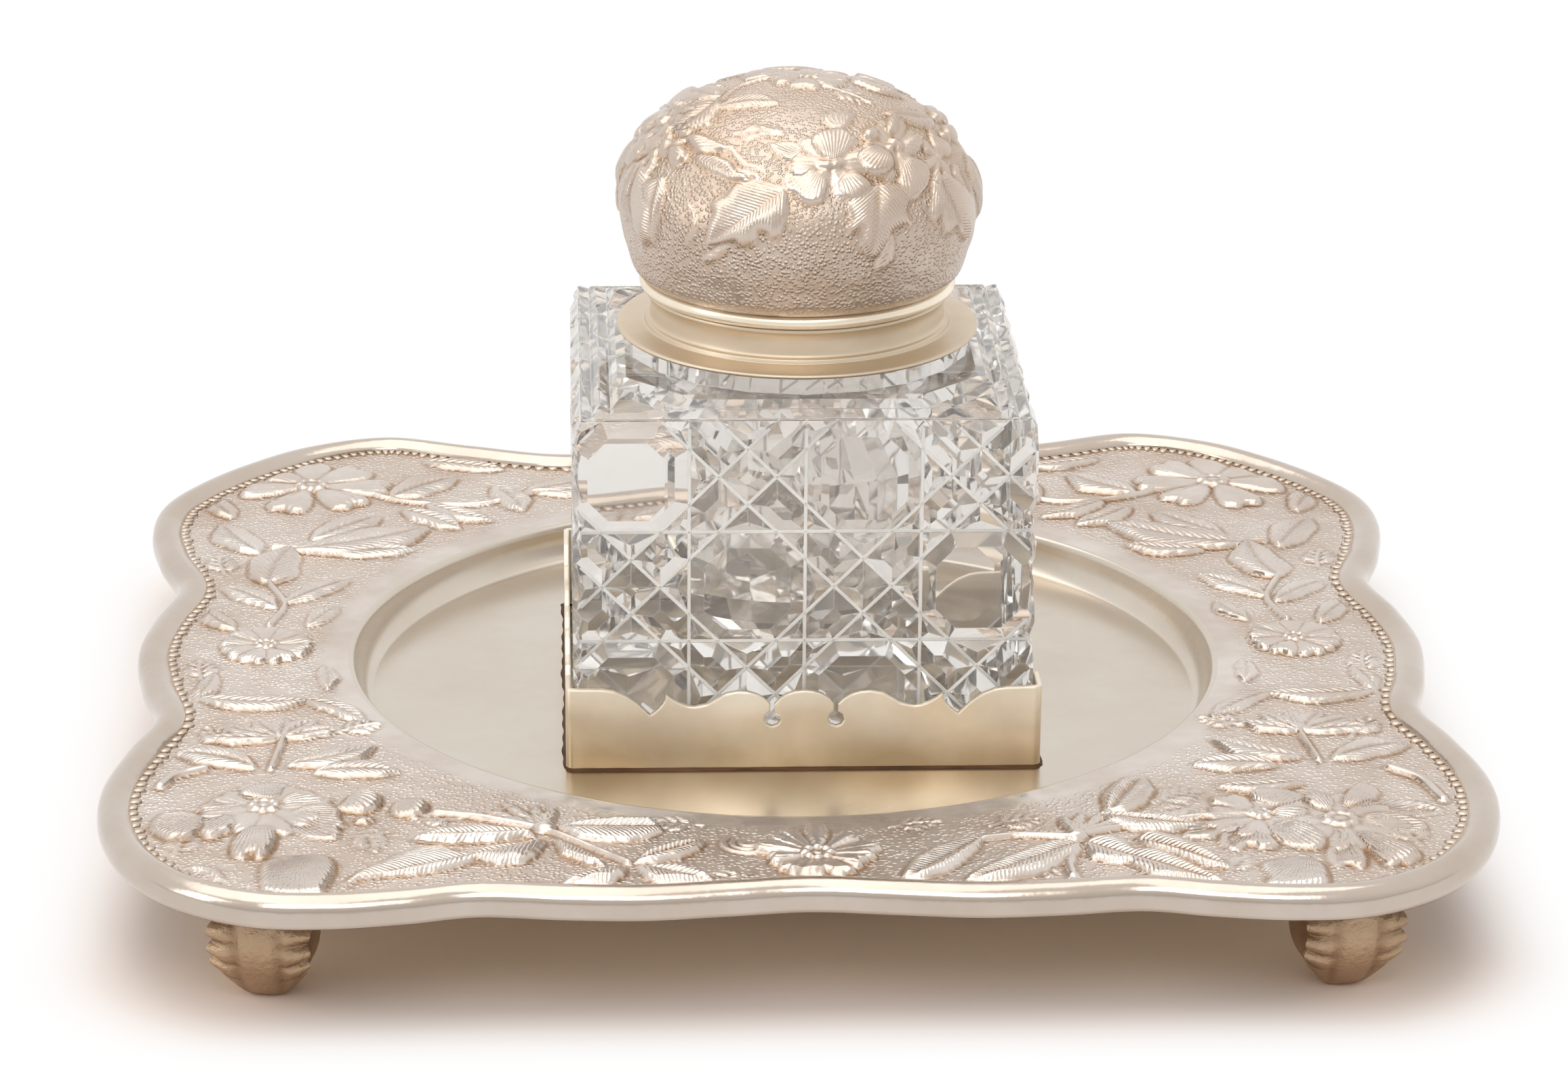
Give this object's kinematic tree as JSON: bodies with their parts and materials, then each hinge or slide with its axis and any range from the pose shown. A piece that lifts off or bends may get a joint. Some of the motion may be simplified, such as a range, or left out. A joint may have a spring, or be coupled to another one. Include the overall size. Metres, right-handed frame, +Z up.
{
  "type": "desk inkstand",
  "caption": "Lobed silver tray on shell feet, with a round sunk well, a square gallery and a cut glass inkwell under a hinged domed lid.",
  "frame": {"origin": "on the table under the middle of the tray", "axes": "+X to the right, +Y to the back, where the lid's hinge is, +Z up"},
  "size_m": [0.2, 0.196, 0.1094],
  "materials": {
    "tray_silver": "embossed and chased silver, stippled ground darkened in its hollows, polished well",
    "polished_silver": "polished silver wire with warm toning",
    "cast_silver": "cast silver, brownish toning in the hollows",
    "gallery_silver": "polished silver strip with yellowish toning",
    "cut_glass": "clear cut glass, polished",
    "plaster": "set plaster, off-white, chalky",
    "collar_silver": "spun silver, softly polished, warm toning",
    "lid_silver": "embossed silver, shiny on the high parts, darker and yellower in the hollows"
  },
  "bodies": {
    "tray": {"tray_plate": "tray_silver", "tray_rim": "polished_silver", "gallery": "gallery_silver", "foot_front_left": "cast_silver", "foot_front_right": "cast_silver", "foot_back_left": "cast_silver", "foot_back_right": "cast_silver"},
    "inkwell": {"inkwell_glass": "cut_glass", "plaster_ring": "plaster", "collar": "collar_silver", "collar_bezel": "collar_silver", "collar_hinge": "collar_silver", "hinge_pin": "collar_silver"},
    "lid": {"lid": "lid_silver", "lid_bead": "polished_silver", "lid_hinge": "collar_silver"}
  },
  "joints": [
    {"name": "inkwell_lift", "type": "slide", "parent": "tray", "child": "inkwell", "axis": [0, 0, 1], "range_m": [0, 0.03]},
    {"name": "lid_hinge", "type": "hinge", "parent": "inkwell", "child": "lid", "pos_m": [0.0016, 0.0254, 0.0778], "axis": [-1, 0, 0], "range_deg": [0, 100]}
  ]
}
